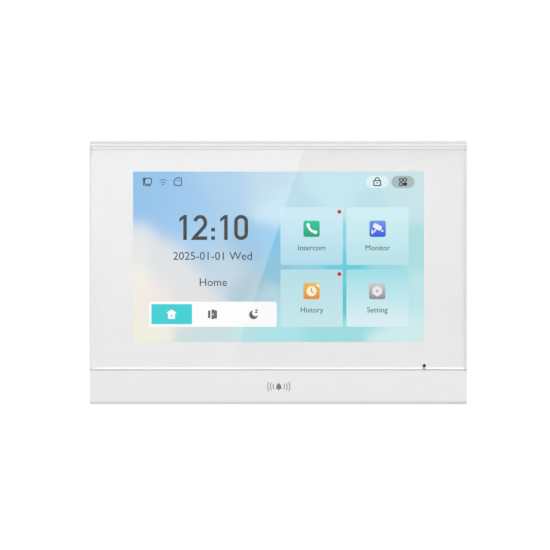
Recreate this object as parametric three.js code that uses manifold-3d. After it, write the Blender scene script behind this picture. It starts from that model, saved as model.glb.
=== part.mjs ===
// Wall-mounted video intercom monitor: a 7-inch touch display in a two-part plastic casing that hangs
// by four hooks on a steel wall plate. Millimetres. X runs to the viewer's right, Z up and Y into the
// wall: the wall face is y = 0, and the glass faces -Y.
import * as THREE from "three";
import { mergeVertices } from "three/addons/utils/BufferGeometryUtils.js";
import Module from "manifold-3d";

const wasm = await Module();
wasm.setup();

// ---- Driving dimensions ----

const WIDTH = 200;
const HEIGHT = 139.6;
const DEPTH = 22; // from the wall to the front of the glass
const WALL = 2; // moulded wall of the casing
const FIT = 0.1; // between pieces that lie against each other
const FRONT_Y = -DEPTH;
const SPLIT_Y = -15; // where the front frame meets the rear cover
const REAR_Y = -0.6; // back face of the rear cover
const BEVEL_Y = -8; // where the rear cover's sides start to slope in
const BEVEL = 7;

const GLASS = { halfWidth: 99.2, top: 66.35, bottom: -51, thick: 1.8, edge: 0.5, corner: 1 };
const MIC = { x: 77, z: -49.1, holeR: 0.8 };
const FRAME = { halfWidth: 99.6, top: 69, bottom: -69.3, lip: 66.7, chin: -51.75, chinEdge: 2.1 };
const GROOVE = { z: 67.8, y: -19.6 }; // the step above the top lip
const TAPE_T = 0.3;
const SHELF_Y = FRONT_Y + GLASS.thick + TAPE_T + FIT;
const SHELF_T = 1.5;

const SCREEN = { x: [-76.8, 76.8], z: [-36.7, 53.3] }; // active area, 153.6 x 90
const MODULE = { x: [-82.3, 82.3], z: [-43.4, 58.6], y: [-19.6, -16.4], sheet: 0.4 };

const BOARD = { x: [-91, 93.5], z: [-44, 46], y: [-15.6, -14], r: 1.5 };
const BOARD_SCREWS = [[-87, 40], [-87, -36], [88, 40], [88, -38]];
const CASE_SCREWS = [[-86, 56], [86, 56], [-86, -58.4], [86, -58.4]];

const PLATE = { halfWidth: 62, halfHeight: 44, t: 1.2, corner: 4 };
const RECESS = { halfWidth: 64, z: [-54, 46], floorY: -2.2 };
const HOOKS = [[-57, 32], [57, 32], [-57, -30], [57, -30]];
const HOOK = { width: 6, stem: 2, lip: 5.5, thick: 1.2, reach: -6 };
const LIFT = 6.5; // travel that frees the hooks
const BAY = { x: [-50, 50], z: [-46, -15], floorY: -12, wall: 1.4 };

const PITCH = 3.81; // terminal spacing
const PLUG = { y: [-11.7, -3.4], z: [-27.5, -15.4], noseY: [-11.7, -6.7], noseZ: -8, clampZ: -21 };
const HEADER = { y: [-13.9, -5.6], z: [-14.6, -5], wall: 1.2 };
const POWER = { name: "power", x: -10, poles: 2 };
const BELL = { name: "bell", x: 14, poles: 3 };

const JACK = { x: [-44.8, -28.8], y: [-15.8, -4.6], z: [-14.8, 0.2] };
const CARD = { x: [84.4, 99.4], y: [-13.4, -12.6], z: [10, 21] };
const RESET = { y: -12.2, z: -20, bodyX: [87, 93], tipX: 97.2 };
const SPEAKER = { x: [-78, -42], y: [-19.6, -8.4], z: [-66.1, -59.5] };

// ---- Materials ----

const finish = (color, roughness, metalness = 0) =>
  new THREE.MeshStandardMaterial({ color, roughness, metalness });
const white = finish(0xeeeeee, 0.45);
const steel = finish(0xb9bcc0, 0.4, 0.9);
const zinc = finish(0xc9ccd0, 0.3, 1);
const boardGreen = finish(0x1f5b3a, 0.5);
const black = finish(0x1b1b1d, 0.5);
const plugGreen = finish(0x2f8f4e, 0.5);
const amber = finish(0xb4752c, 0.35);
const paleFilm = finish(0xe9eef2, 0.2);
const clearGlass = new THREE.MeshStandardMaterial({
  color: 0xf2f6f6, roughness: 0.05, transparent: true, opacity: 0.4,
});
const screenGlass = finish(0x9fc9e6, 0.1);
const rubber = finish(0x2a2a2c, 0.8);
const label = finish(0xd6d8da, 0.4);
const brass = finish(0xc9a860, 0.35, 1);

// ---- Solids ----

function toSolid(geometry) {
  const bare = geometry.clone();
  Object.keys(bare.attributes).forEach((name) => name !== "position" && bare.deleteAttribute(name));
  const merged = mergeVertices(bare, 1e-4);
  const vertProperties = merged.attributes.position.array;
  const triVerts = new Uint32Array(merged.index.array);
  const build = () => new wasm.Manifold(new wasm.Mesh({ numProp: 3, vertProperties, triVerts }));
  const solid = build();
  if (solid.volume() > 0) return solid;
  for (let i = 0; i < triVerts.length; i += 3)
    [triVerts[i + 1], triVerts[i + 2]] = [triVerts[i + 2], triVerts[i + 1]];
  return build();
}

const join = (first, ...rest) => rest.reduce((all, next) => all.add(next), first);
const cut = (first, ...rest) => rest.reduce((all, next) => all.subtract(next), first);

// A box from its [low, high] along each axis.
function box(x, y, z) {
  const geometry = new THREE.BoxGeometry(x[1] - x[0], y[1] - y[0], z[1] - z[0]);
  return toSolid(geometry.translate((x[0] + x[1]) / 2, (y[0] + y[1]) / 2, (z[0] + z[1]) / 2));
}

// A cylinder along one axis, from low to high, round the other two coordinates.
function rod(axis, radius, [low, high], centre, segments = 20) {
  const geometry = new THREE.CylinderGeometry(radius, radius, high - low, segments);
  const middle = (low + high) / 2;
  if (axis === "x") geometry.rotateZ(Math.PI / 2).translate(middle, centre[0], centre[1]);
  if (axis === "y") geometry.translate(centre[0], middle, centre[1]);
  if (axis === "z") geometry.rotateX(Math.PI / 2).translate(centre[0], centre[1], middle);
  return toSolid(geometry);
}

// A turned piece round a line along Y through (x, z); its profile is [radius, y] from one end to the other.
function turned(profile, [x, z], segments = 16) {
  const points = profile.map(([radius, y]) => new THREE.Vector2(radius, y));
  return toSolid(new THREE.LatheGeometry(points, segments).translate(x, 0, z));
}

function roundedRectangle([x0, x1], [z0, z1], r) {
  const shape = new THREE.Shape();
  shape.moveTo(x0 + r, z0);
  shape.lineTo(x1 - r, z0);
  shape.absarc(x1 - r, z0 + r, r, -Math.PI / 2, 0);
  shape.lineTo(x1, z1 - r);
  shape.absarc(x1 - r, z1 - r, r, 0, Math.PI / 2);
  shape.lineTo(x0 + r, z1);
  shape.absarc(x0 + r, z1 - r, r, Math.PI / 2, Math.PI);
  shape.lineTo(x0, z0 + r);
  shape.absarc(x0 + r, z0 + r, r, Math.PI, 1.5 * Math.PI);
  return shape;
}

const extrude = (shape, depth) =>
  new THREE.ExtrudeGeometry(shape, { depth, bevelEnabled: false, curveSegments: 5 });

// A shape drawn in X-Z, made solid between y[0] and y[1].
function slab(shape, y) {
  const turn = new THREE.Matrix4().makeBasis(
    new THREE.Vector3(1, 0, 0), new THREE.Vector3(0, 0, 1), new THREE.Vector3(0, -1, 0));
  return toSolid(extrude(shape, y[1] - y[0]).applyMatrix4(turn).translate(0, y[1], 0));
}

// A profile drawn as [y, z] points, made solid between x[0] and x[1].
function profileBar(points, x) {
  const shape = new THREE.Shape(points.map(([y, z]) => new THREE.Vector2(y, z)));
  const turn = new THREE.Matrix4().makeBasis(
    new THREE.Vector3(0, 1, 0), new THREE.Vector3(0, 0, 1), new THREE.Vector3(1, 0, 0));
  return toSolid(extrude(shape, x[1] - x[0]).applyMatrix4(turn).translate(x[0], 0, 0));
}

// Rounded rectangles at increasing y, joined by straight walls. Each ring is { y, x, z, r }.
function loft(rings) {
  const loops = rings.map(({ x, z, r }) => {
    const points = roundedRectangle(x, z, r).getPoints(3);
    return points[0].distanceTo(points.at(-1)) < 1e-6 ? points.slice(0, -1) : points;
  });
  const count = loops[0].length;
  const positions = loops.flatMap((loop, i) => loop.flatMap((p) => [p.x, rings[i].y, p.y]));
  const index = [];
  for (let i = 0; i + 1 < loops.length; i += 1)
    for (let j = 0; j < count; j += 1) {
      const [a, b] = [i * count + j, i * count + ((j + 1) % count)];
      index.push(a, b, b + count, a, b + count, a + count);
    }
  const cap = (loop, start, alongLoop) =>
    THREE.ShapeUtils.triangulateShape(loop, []).forEach(([a, b, c]) => {
      const area = THREE.ShapeUtils.area([loop[a], loop[b], loop[c]]);
      const same = area > 0 === alongLoop;
      index.push(start + a, start + (same ? b : c), start + (same ? c : b));
    });
  cap(loops[0], 0, false);
  cap(loops.at(-1), count * (loops.length - 1), true);
  const geometry = new THREE.BufferGeometry();
  geometry.setAttribute("position", new THREE.Float32BufferAttribute(positions, 3));
  geometry.setIndex(index);
  return toSolid(geometry);
}

// A flat strip of even thickness that follows [y, z] points, between x[0] and x[1].
function ribbonAlong(points, thick, x) {
  const line = points.map(([y, z]) => new THREE.Vector2(y, z));
  const side = (sign) =>
    line.map((p, i) => {
      const along = line[Math.min(i + 1, line.length - 1)].clone().sub(line[Math.max(i - 1, 0)]);
      return new THREE.Vector2(-along.y, along.x).setLength((sign * thick) / 2).add(p);
    });
  return profileBar([...side(1), ...side(-1).reverse()].map((p) => [p.x, p.y]), x);
}

// A round lead along a smooth curve through points.
function leadAlong(points, radius, steps) {
  const curve = new THREE.CatmullRomCurve3(points.map((p) => new THREE.Vector3(...p)));
  const section = new THREE.Shape().absarc(0, 0, radius, 0, 2 * Math.PI);
  const options = { steps, extrudePath: curve, bevelEnabled: false, curveSegments: 4 };
  return toSolid(new THREE.ExtrudeGeometry(section, options));
}

// Points of an arc in [y, z], from one angle to another, in radians.
const arcPoints = (cy, cz, r, from, to, count) =>
  Array.from({ length: count + 1 }, (_, i) => from + ((to - from) * i) / count).map((a) => [
    cy + r * Math.cos(a), cz + r * Math.sin(a),
  ]);

// A pan-head screw along Y whose head faces the wall, with a cross recess.
function screw([x, z], headY, headR, headT, shankR, shankLength) {
  const seat = headY - headT;
  const body = turned([
    [0, seat - shankLength], [shankR * 0.6, seat - shankLength], [shankR, seat - shankLength + shankR],
    [shankR, seat], [headR, seat], [headR, headY - headT * 0.35], [headR * 0.75, headY], [0, headY],
  ], [x, z]);
  const arm = headR * 0.6;
  const slot = headR * 0.14;
  const recess = [headY - headT * 0.6, headY + 1];
  return cut(body, box([x - arm, x + arm], recess, [z - slot, z + slot]),
    box([x - slot, x + slot], recess, [z - arm, z + arm]));
}

// ---- The assembly ----

const monitor = new THREE.Group();

function piece(name, solid, material, parent = monitor) {
  const made = solid.getMesh();
  const geometry = new THREE.BufferGeometry();
  geometry.setAttribute("position", new THREE.BufferAttribute(made.vertProperties, 3));
  geometry.setIndex(new THREE.BufferAttribute(made.triVerts, 1));
  geometry.computeVertexNormals();
  const mesh = new THREE.Mesh(geometry, material);
  mesh.name = name;
  parent.add(mesh);
  return mesh;
}

// The cover glass: one flat pane with a polished chamfer all round and the microphone's hole.
function coverGlass() {
  const { halfWidth, top, bottom, thick, edge, corner } = GLASS;
  const ring = (y, inset) => ({
    y, x: [-halfWidth + inset, halfWidth - inset], z: [bottom + inset, top - inset], r: corner,
  });
  const pane = loft([ring(FRONT_Y, edge), ring(FRONT_Y + edge, 0), ring(FRONT_Y + thick, 0)]);
  return cut(pane, rod("y", MIC.holeR, [FRONT_Y - 1, FRONT_Y + thick + 1], [MIC.x, MIC.z]));
}

// Bonding tape: a thin frame round the display, behind the glass.
function glassTape() {
  const y = [FRONT_Y + GLASS.thick + FIT / 2, SHELF_Y - FIT / 2];
  const outer = roundedRectangle([-98, 98], [GLASS.bottom + 1, GLASS.top - 1.2], 1);
  outer.holes.push(roundedRectangle([-86, 86], [-47, 61.5], 1));
  return cut(slab(outer, y), rod("y", 1.6, [y[0] - 1, y[1] + 1], [MIC.x, MIC.z]));
}

// The front frame: top lip, glass shelf and chin in one moulding, with bosses for both sets of screws.
function frontFrame() {
  const { halfWidth, top, bottom, lip, chin, chinEdge } = FRAME;
  const backY = SPLIT_Y - FIT;
  const lowerEdge = arcPoints(FRONT_Y + chinEdge, bottom + chinEdge, chinEdge, -Math.PI / 2, -Math.PI, 5);
  const shell = profileBar([
    [backY, bottom], ...lowerEdge, [FRONT_Y, chin],
    [SHELF_Y, chin], [SHELF_Y, lip], [FRONT_Y, lip], [FRONT_Y, GROOVE.z - 0.25],
    [FRONT_Y + 0.25, GROOVE.z], [GROOVE.y, GROOVE.z], [GROOVE.y, top - 0.25], [GROOVE.y + 0.25, top],
    [backY, top],
  ], [-halfWidth, halfWidth]);
  const innerX = [-halfWidth + WALL, halfWidth - WALL];
  const cavity = box(innerX, [SHELF_Y + SHELF_T, backY + 1], [bottom + WALL, top - WALL]);
  const chinCavity = box(innerX, [FRONT_Y + WALL, backY + 1], [bottom + WALL, chin - 1.8]);
  const windowX = [MODULE.x[0] - 0.7, MODULE.x[1] + 0.7];
  const windowZ = [MODULE.z[0] - 3, MODULE.z[1] + 0.8];
  const opening = box(windowX, [FRONT_Y, backY + 1], windowZ);
  const hollow = cut(shell, cavity, chinCavity, opening);
  const bosses = [
    ...BOARD_SCREWS.map((at) => rod("y", 2.6, [SHELF_Y + SHELF_T - 0.5, BOARD.y[0] - FIT], at)),
    ...CASE_SCREWS.map((at) => rod("y", 3, [at[1] > 0 ? SHELF_Y + 0.8 : FRONT_Y + WALL - 0.5, -13.4], at)),
  ];
  const holes = [
    ...BOARD_SCREWS.map((at) => rod("y", 1.1, [SHELF_Y + SHELF_T, BOARD.y[0] + 1], at, 16)),
    ...CASE_SCREWS.map((at) => rod("y", 1.5, [SHELF_Y + SHELF_T, SPLIT_Y + 3], at, 16)),
    rod("y", MIC.holeR, [FRONT_Y, SHELF_Y + SHELF_T + 1], [MIC.x, MIC.z], 16),
  ];
  return cut(join(hollow, ...bosses), ...holes);
}

const coverRing = (y, inset, r) => ({
  y, x: [-WIDTH / 2 + inset, WIDTH / 2 - inset], z: [-HEIGHT / 2 + inset, HEIGHT / 2 - inset], r,
});

// The rear cover: a bevelled shell with the wall plate's recess, the connector bay and every opening.
function rearCover() {
  const outside = loft([
    coverRing(SPLIT_Y, 0.35, 1), coverRing(SPLIT_Y + 0.35, 0, 1.2),
    coverRing(BEVEL_Y, 0, 1.2), coverRing(REAR_Y, BEVEL, 2),
  ]);
  const inside = loft([
    coverRing(SPLIT_Y - 1, WALL, 0.6), coverRing(BEVEL_Y, WALL, 0.6),
    coverRing(REAR_Y - WALL, BEVEL + WALL - 0.6, 0.6),
  ]);
  const innerY = RECESS.floorY - WALL;
  const recessX = [-RECESS.halfWidth, RECESS.halfWidth];
  const recessPad = box([-RECESS.halfWidth - WALL, RECESS.halfWidth + WALL], [innerY, REAR_Y - WALL / 2],
    [RECESS.z[0] - WALL, RECESS.z[1] + WALL]);
  const bayBox = box([BAY.x[0] - BAY.wall, BAY.x[1] + BAY.wall],
    [BAY.floorY - BAY.wall, REAR_Y - WALL / 2], [BAY.z[0] - BAY.wall, BAY.z[1] + BAY.wall]);
  const wells = CASE_SCREWS.map((at) => rod("y", 3.4, [-13.2, REAR_Y - 0.5], at));
  const shell = join(cut(outside, inside), recessPad, bayBox, ...wells);
  const hookSlots = HOOKS.map(([x, z]) =>
    box([x - HOOK.width / 2 - 1, x + HOOK.width / 2 + 1], [innerY - 1, REAR_Y],
      [z - HOOK.stem - HOOK.lip - 2, z + 0.3]));
  const wellCuts = CASE_SCREWS.flatMap((at) => [
    rod("y", 2.7, [-11.6, REAR_Y + 1], at), rod("y", 1.65, [-14, -11], at, 16),
  ]);
  return cut(shell,
    box(recessX, [RECESS.floorY, REAR_Y + 1], RECESS.z), box(BAY.x, [BAY.floorY, REAR_Y + 1], BAY.z),
    ...hookSlots, ...wellCuts, ...connectorCuts(), ...ventCuts(), ...speakerCuts(),
    box([WIDTH / 2 - WALL - 1, WIDTH / 2 + 1], [CARD.y[0] - 0.5, CARD.y[1] + 0.5],
      [CARD.z[0] - 0.8, CARD.z[1] + 0.8]),
    box([WIDTH / 2 - 1.1, WIDTH / 2 + 1], [CARD.y[0] - 0.6, CARD.y[1] + 3],
      [CARD.z[0] + 1.5, CARD.z[1] - 1.5]),
    rod("x", 0.9, [WIDTH / 2 - WALL - 1, WIDTH / 2 + 1], [RESET.y, RESET.z], 16));
}

// Where the sockets reach through the bay's upper wall.
function connectorCuts() {
  const z = [BAY.z[1] - FIT, BAY.z[1] + BAY.wall + 1];
  const headerCut = (header) => {
    const half = headerHalfWidth(header) + 0.2;
    return box([header.x - half, header.x + half], [HEADER.y[0] - 1, HEADER.y[1] + 0.2], z);
  };
  return [box([JACK.x[0] - 0.2, JACK.x[1] + 0.2], [BAY.floorY - BAY.wall - 1, JACK.y[1] + 0.2], z),
    headerCut(POWER), headerCut(BELL)];
}

// Upright vent slots in the back face above the recess.
function ventCuts() {
  const count = 25;
  const spacing = 5.5;
  return Array.from({ length: count }, (_, i) => (i - (count - 1) / 2) * spacing).map((x) =>
    box([x - 0.9, x + 0.9], [REAR_Y - WALL - 1, REAR_Y + 1], [51, 59]));
}

// Sound slots in the bottom wall under the loudspeaker.
function speakerCuts() {
  const count = 9;
  const spacing = 3.8;
  const middle = (SPEAKER.x[0] + SPEAKER.x[1]) / 2;
  return Array.from({ length: count }, (_, i) => middle + (i - (count - 1) / 2) * spacing).map((x) =>
    box([x - 0.9, x + 0.9], [SPLIT_Y + 1.2, BEVEL_Y - 0.6],
      [-HEIGHT / 2 - 1, -HEIGHT / 2 + WALL + 1]));
}

// The steel wall plate: cable window, screw slots for a 60 mm wall box, corner holes and four hooks.
function wallPlate() {
  const { halfWidth, halfHeight, t, corner } = PLATE;
  const outline = roundedRectangle([-halfWidth, halfWidth], [-halfHeight, halfHeight], corner);
  outline.holes.push(roundedRectangle([-44, 44], [-36, -11], 3));
  [-30, 30].forEach((x) => outline.holes.push(roundedRectangle([x - 5, x + 5], [-2.2, 2.2], 2.1)));
  const plate = slab(outline, [-t, 0]);
  const rounds = [[-48, 38], [48, 38], [0, 30], [-50, -39.8], [50, -39.8]].map(([x, z]) =>
    rod("y", 2.2, [-t - 1, 1], [x, z], 20));
  const hooks = HOOKS.map(([x, z]) => {
    const side = [x - HOOK.width / 2, x + HOOK.width / 2];
    return join(box(side, [HOOK.reach, -t / 2], [z - HOOK.stem, z]),
      box(side, [HOOK.reach, HOOK.reach + HOOK.thick], [z - HOOK.stem, z + HOOK.lip]));
  });
  const beads = [-1, 1].map((side) =>
    box([Math.min(side * 20, side * 44), Math.max(side * 20, side * 44)], [-t - 0.5, -t / 2], [17, 20]));
  return join(cut(plate, ...rounds), ...hooks, ...beads);
}

// ---- Display ----

function buildDisplay() {
  const { x, z, y, sheet } = MODULE;
  const inset = (range, by) => [range[0] + by, range[1] - by];
  const tray = cut(box(x, [y[0] + 0.6, y[1]], z),
    box(inset(x, sheet), [y[0] - 1, y[1] - sheet], inset(z, sheet)));
  piece("lcd_tray", tray, steel);
  piece("lcd_cell", box(inset(x, 0.7), [y[0], y[0] + 1.2], inset(z, 0.7)), screenGlass);
  piece("diffuser_film", box(inset(x, 1.2), [y[0] + 1.3, y[0] + 1.5], inset(z, 1.2)), paleFilm);
  piece("light_guide", box(inset(x, 1.6), [y[0] + 1.6, y[0] + 2.6], [z[0] + 3.4, z[1] - 1.6]), paleFilm);
  const ledZ = [z[0] + 1, z[0] + 3.2];
  const strip = box(inset(x, 2), [y[0] + 1.7, y[0] + 2.5], [ledZ[0], ledZ[0] + 0.6]);
  const leds = Array.from({ length: 18 }, (_, i) => (i - 8.5) * 8.8).map((at) =>
    box([at - 1.4, at + 1.4], [y[0] + 1.8, y[0] + 2.4], [ledZ[0] + 0.4, ledZ[1] - 0.6]));
  piece("led_bar", join(strip, ...leds), paleFilm);
  piece("touch_film", box([-82.5, 82.5], [FRONT_Y + GLASS.thick + FIT, y[0] - FIT], [-45, 59.2]), clearGlass);
}

// Flat cables that fold round the board's lower edge into latching connectors on its back.
function buildRibbons() {
  const bendY = (BOARD.y[0] + BOARD.y[1]) / 2;
  const bendZ = BOARD.z[0] - 0.4;
  const backY = BOARD.y[1] + 0.55;
  const r = backY - bendY;
  const bend = arcPoints(bendY, bendZ, r, -Math.PI, 0, 7);
  const tail = [[backY, -37]];
  piece("display_ribbon", ribbonAlong([[bendY - r, -30.2], ...bend, ...tail], 0.26, [58.1, 77.9]), amber);
  const touchPath = [[-19.9, -45.4], [-16.6, -45.5],
    ...arcPoints(bendY, bendZ, r, -Math.PI * 0.6, 0, 5), ...tail];
  piece("touch_ribbon", ribbonAlong(touchPath, 0.26, [-66.1, -56.1]), amber);
  connector("display", [56.6, 79.4]);
  connector("touch", [-67.4, -54.6]);
}

// A flat-cable connector with its flip latch lying closed.
function connector(name, x) {
  const bottom = BOARD.y[1] + FIT;
  const body = cut(box(x, [bottom, bottom + 1.7], [-39, -33]),
    box([x[0] + 1, x[1] - 1], [bottom + 0.2, bottom + 0.75], [-40, -36.2]),
    box([x[0] + 0.9, x[1] - 0.9], [bottom + 1, bottom + 2], [-40, -33.8]));
  piece(`${name}_connector`, body, finish(0xe8e2d2, 0.5));
  const lever = box([x[0] + 1.2, x[1] - 1.2], [bottom + 1.15, bottom + 1.85], [-38.8, -34.9]);
  const pin = rod("x", 0.35, [x[0] + 1.2, x[1] - 1.2], [bottom + 1.5, -34.9], 16);
  piece(`${name}_latch`, join(lever, pin), black);
}

// ---- Board and what stands on it ----

function mainBoard() {
  const board = slab(roundedRectangle(BOARD.x, BOARD.z, BOARD.r), BOARD.y);
  const through = [BOARD.y[0] - 1, BOARD.y[1] + 1];
  const jackNotch = box([JACK.x[0] - 0.3, JACK.x[1] + 0.3], through, [JACK.z[0] - 1.2, JACK.z[1] + 0.3]);
  return cut(board, jackNotch, ...BOARD_SCREWS.map((at) => rod("y", 1.4, through, at, 16)));
}

// Network jack set into the board, its mouth facing down, with the latch notch.
function networkJack() {
  const middle = (JACK.x[0] + JACK.x[1]) / 2;
  const mouthZ = [JACK.z[0] - 1, JACK.z[1] - 3];
  const mouth = box([middle - 5.9, middle + 5.9], [-13.6, -7], mouthZ);
  const notch = box([middle - 3.1, middle + 3.1], [-7.5, -5.6], mouthZ);
  return cut(box(JACK.x, JACK.y, JACK.z), mouth, notch);
}

// The jack's insert: a bar across the far end of the mouth with eight sloping contact springs.
function jackContacts() {
  const middle = (JACK.x[0] + JACK.x[1]) / 2;
  const springs = Array.from({ length: 8 }, (_, i) => middle + (i - 3.5) * 1.02).map((x) =>
    profileBar([[-13.3, -12.2], [-12.9, -12.4], [-11.3, -4.9], [-11.7, -4.9]], [x - 0.22, x + 0.22]));
  return join(box([middle - 5.6, middle + 5.6], [-13.3, -11.25], [-5, -3.1]), ...springs);
}

const headerHalfWidth = (plug) => (plug.poles * PITCH + 2.4) / 2;
const poleX = (plug) => Array.from({ length: plug.poles }, (_, i) => plug.x + (i - (plug.poles - 1) / 2) * PITCH);

// Pin header that a terminal plug pushes into from below.
function header(plug) {
  const half = headerHalfWidth(plug);
  const inner = half - HEADER.wall;
  const shroud = cut(box([plug.x - half, plug.x + half], HEADER.y, HEADER.z),
    box([plug.x - inner, plug.x + inner], [-12, -6.4], [HEADER.z[0] - 1, HEADER.z[1] - 2.4]));
  const pins = poleX(plug).map((x) => box([x - 0.5, x + 0.5], [-9.7, -8.7], [-13.6, HEADER.z[1] - 1]));
  return join(shroud, ...pins);
}

// Terminal plug: nose, wire funnels below, screw wells at the back and a room for each clamp.
function plugBody(plug) {
  const half = headerHalfWidth(plug) - HEADER.wall - 0.3;
  const bodyHalf = half + 0.9;
  const body = box([plug.x - bodyHalf, plug.x + bodyHalf], PLUG.y, PLUG.z);
  const nose = box([plug.x - half, plug.x + half], PLUG.noseY, [PLUG.z[1] - 1, PLUG.noseZ]);
  const cuts = poleX(plug).flatMap((x) => [
    box([x - 0.8, x + 0.8], [-10, -8.4], [-17, PLUG.noseZ + 1]),
    box([x - 1.65, x + 1.65], [-11.3, -5.2], [PLUG.clampZ - 2.4, PLUG.clampZ + 2.4]),
    box([x - 1.25, x + 1.25], [-10.3, -7.7], [PLUG.z[0] - 1, PLUG.clampZ]),
    rod("y", 1.5, [-4.95, PLUG.y[1] + 1], [x, PLUG.clampZ], 20),
    rod("y", 1.05, [-5.6, PLUG.y[1]], [x, PLUG.clampZ], 16),
  ]);
  return cut(join(body, nose), ...cuts);
}

// The rising clamp: a square ring that the screw lifts.
function clamp(x) {
  const z = [PLUG.clampZ - 2.1, PLUG.clampZ + 2.1];
  return cut(box([x - 1.5, x + 1.5], [-11.1, -6.6], z),
    box([x - 0.95, x + 0.95], [-10.5, -7.6], [z[0] - 1, z[1] + 1]),
    rod("y", 0.95, [-8, -6], [x, PLUG.clampZ], 16));
}

// Slotted clamp screw: it turns in place and its thread lifts the clamp.
function clampScrew(x) {
  const body = turned([[0, -8.9], [0.85, -8.9], [0.85, -4.8], [1.35, -4.8], [1.35, -3.7], [0, -3.7]],
    [x, PLUG.clampZ], 20);
  return cut(body, box([x - 1.2, x + 1.2], [-4.25, -3], [PLUG.clampZ - 0.2, PLUG.clampZ + 0.2]));
}

function buildTerminals() {
  [POWER, BELL].forEach((plug) => {
    piece(`${plug.name}_header`, header(plug), plugGreen);
    piece(`${plug.name}_plug`, plugBody(plug), plugGreen);
    poleX(plug).forEach((x, i) => {
      piece(`${plug.name}_clamp_${i + 1}`, clamp(x), brass);
      piece(`${plug.name}_clamp_screw_${i + 1}`, clampScrew(x), zinc);
    });
  });
}

function buildBoard() {
  const top = BOARD.y[1] + FIT;
  piece("main_board", mainBoard(), boardGreen);
  BOARD_SCREWS.forEach((at, i) => piece(`board_screw_${i + 1}`, screw(at, top + 1.2, 2, 1.2, 0.95, 4), zinc));
  piece("network_jack", networkJack(), black);
  piece("jack_contacts", jackContacts(), brass);
  const can = { x: [12, 52], z: [2, 34] };
  const shield = cut(box(can.x, [top, top + 2.6], can.z),
    box([can.x[0] + 0.3, can.x[1] - 0.3], [top - 1, top + 2.3], [can.z[0] + 0.3, can.z[1] - 0.3]));
  piece("shield_can", shield, steel);
  [[-12, 24], [-21, 24]].forEach((at, i) => {
    const base = box([at[0] - 3.3, at[0] + 3.3], [top, top + 0.8], [at[1] - 3.3, at[1] + 3.3]);
    piece(`capacitor_${i + 1}`, join(base, rod("y", 3.1, [top + 0.5, top + 5.8], at)), zinc);
  });
  const choke = join(box([-40, -33], [top, top + 3.6], [20.5, 27.5]), rod("y", 3, [top + 3, top + 4], [-36.5, 24]));
  piece("power_choke", choke, black);
  buildCardSlot(top);
  buildReset(top);
}

// Memory card in its sprung metal holder, reached through a slot in the right-hand side.
function buildCardSlot(top) {
  const holder = cut(box([79, 93], [top, top + 1.9], [CARD.z[0] - 1.2, CARD.z[1] + 1.2]),
    box([80, 94], [CARD.y[0] - 0.15, CARD.y[1] + 0.15], [CARD.z[0] - 0.3, CARD.z[1] + 0.3]));
  piece("card_holder", holder, steel);
  const card = cut(box(CARD.x, CARD.y, CARD.z), box([CARD.x[0] - 1, CARD.x[0] + 6], [-20, 0],
    [CARD.z[1] - 1.3, CARD.z[1] + 1]));
  piece("memory_card", card, black);
}

// Reset switch: its plunger is pressed with a pin through the right-hand side.
function buildReset(top) {
  const bore = rod("x", 1.05, [89.5, 94], [RESET.y, RESET.z]);
  piece("reset_switch", cut(box(RESET.bodyX, [top, top + 3.6], [RESET.z - 3, RESET.z + 3]), bore), steel);
  const stem = rod("x", 0.95, [90, RESET.tipX], [RESET.y, RESET.z]);
  piece("reset_plunger", stem, black);
}

// ---- Sound ----

// A racetrack outline in X-Y, inset from the loudspeaker's own.
function racetrack(inset) {
  const [x0, x1] = [SPEAKER.x[0] + inset, SPEAKER.x[1] - inset];
  const [y0, y1] = [SPEAKER.y[0] + inset, SPEAKER.y[1] - inset];
  return roundedRectangle([x0, x1], [y0, y1], (y1 - y0) / 2 - 0.01);
}

const upright = (shape, z) => toSolid(extrude(shape, z[1] - z[0]).translate(0, 0, z[0]));

function buildSound() {
  const { x, y, z } = SPEAKER;
  const middle = [(x[0] + x[1]) / 2, (y[0] + y[1]) / 2];
  const ring = racetrack(0);
  ring.holes.push(racetrack(1.4));
  piece("speaker_gasket", upright(ring, [z[0] - 0.8, z[0] - FIT]), rubber);
  const basket = cut(upright(racetrack(0), z), upright(racetrack(1.2), [z[0] - 1, z[0] + 3.2]),
    rod("z", 4.2, [z[0], z[1] + 1], middle));
  piece("speaker_basket", basket, black);
  const magnet = rod("z", 3, [z[0] + 2.8, z[1] + 0.9], middle);
  piece("speaker_magnet", join(magnet, rod("z", 5, [z[1] + FIT, z[1] + 2.1], middle)), steel);
  const cone = join(upright(racetrack(1.8), [z[0] + 1, z[0] + 1.4]),
    cut(rod("z", 3.9, [z[0] + 1.2, z[0] + 4.6], middle), rod("z", 3.5, [z[0] + 1.4, z[0] + 6], middle)));
  piece("speaker_cone", cone, black);
  const micBack = SHELF_Y + SHELF_T;
  const boot = cut(rod("y", 3.2, [micBack + FIT, micBack + 2.7], [MIC.x, MIC.z]),
    rod("y", 2.1, [micBack + 0.9, micBack + 4], [MIC.x, MIC.z]),
    rod("y", MIC.holeR, [micBack - 1, micBack + 2], [MIC.x, MIC.z], 16));
  piece("mic_boot", boot, rubber);
  piece("microphone", rod("y", 2, [micBack + 1, micBack + 2.5], [MIC.x, MIC.z]), zinc);
  piece("mic_lead", leadAlong([[77, micBack + 3, -49.1], [78.5, -14.2, -48], [80, -13.5, -46],
    [81, -13, -42.5], [81.5, -13.6, -40]], 0.35, 14), black);
  piece("speaker_lead", leadAlong([[-68, -12.5, -59.0], [-70, -11.5, -55], [-73, -11, -50],
    [-75, -11.5, -45], [-76, -13.4, -41]], 0.45, 16), black);
}

// ---- Everything together ----

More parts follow.
